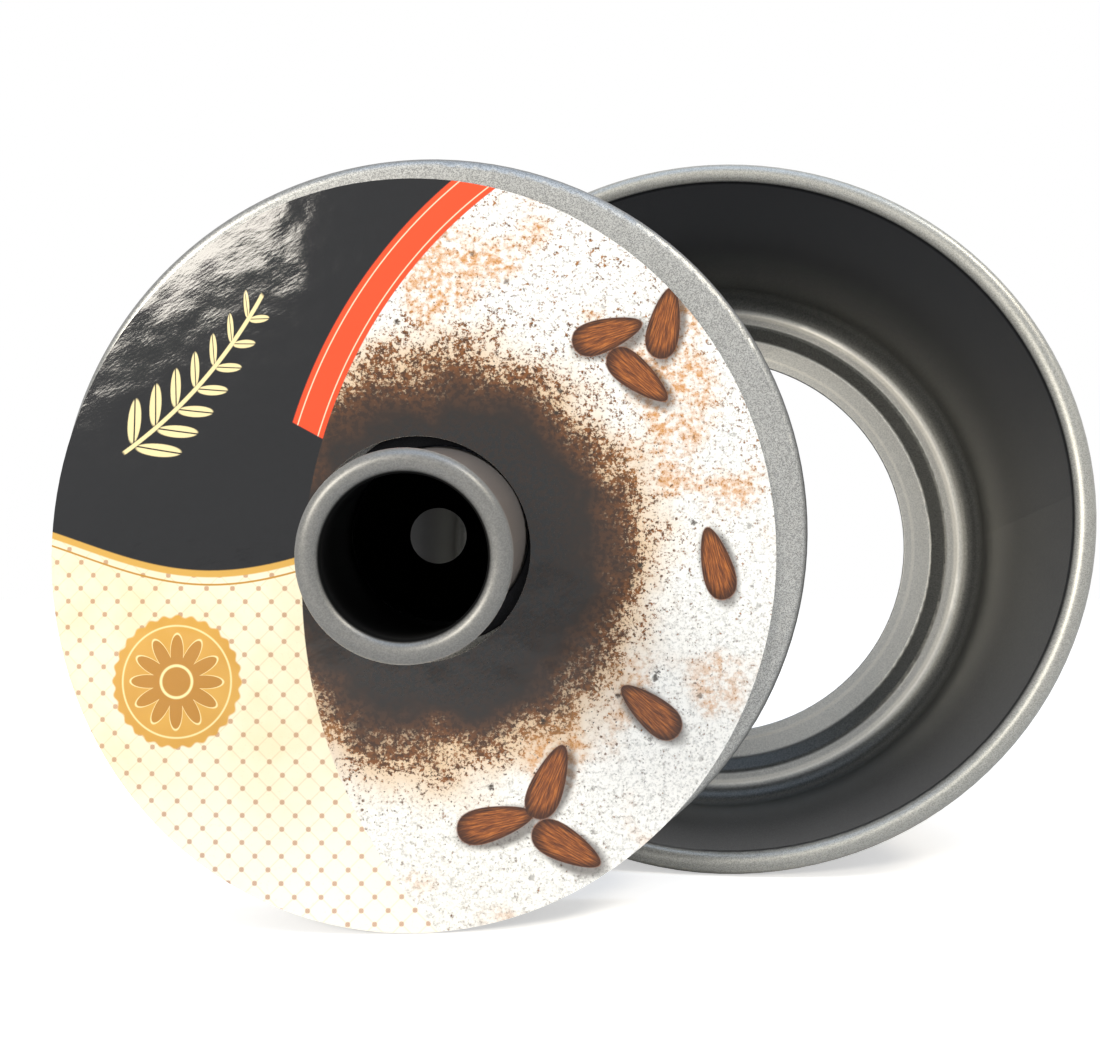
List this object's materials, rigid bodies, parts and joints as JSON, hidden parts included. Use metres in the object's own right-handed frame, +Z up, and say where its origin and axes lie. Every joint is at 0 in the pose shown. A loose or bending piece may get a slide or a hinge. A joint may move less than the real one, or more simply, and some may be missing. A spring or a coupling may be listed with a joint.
{
  "type": "two-piece tube cake pan",
  "caption": "Round tapered cake pan taken apart: a bottomless ring with a rolled rim, and a loose flat base with a tapered centre tube and a printed card round it.",
  "frame": {"origin": "on the floor, under the middle of the bounding box of both pieces", "axes": "+X to the viewer's right across both pieces, +Y away from the viewer, +Z up"},
  "size_m": [0.3234, 0.2786, 0.2476],
  "materials": {
    "coated_steel": "satin metallic grey non-stick coating with a fine speckle",
    "printed_card": "glossy printed card in charcoal, cream, gold and speckled white"
  },
  "bodies": {
    "ring": {"pan_ring": "coated_steel"},
    "base": {"base_plate": "coated_steel", "centre_tube": "coated_steel"},
    "card": {"label_card": "printed_card"}
  },
  "joints": [
    {"name": "base_off", "type": "slide", "parent": "ring", "child": "base", "axis": [-0.143, -0.9805, 0.1348], "range_m": [0, 0.15]},
    {"name": "card_off", "type": "slide", "parent": "base", "child": "card", "axis": [0.0488, -0.9971, -0.0576], "range_m": [0, 0.12]}
  ]
}
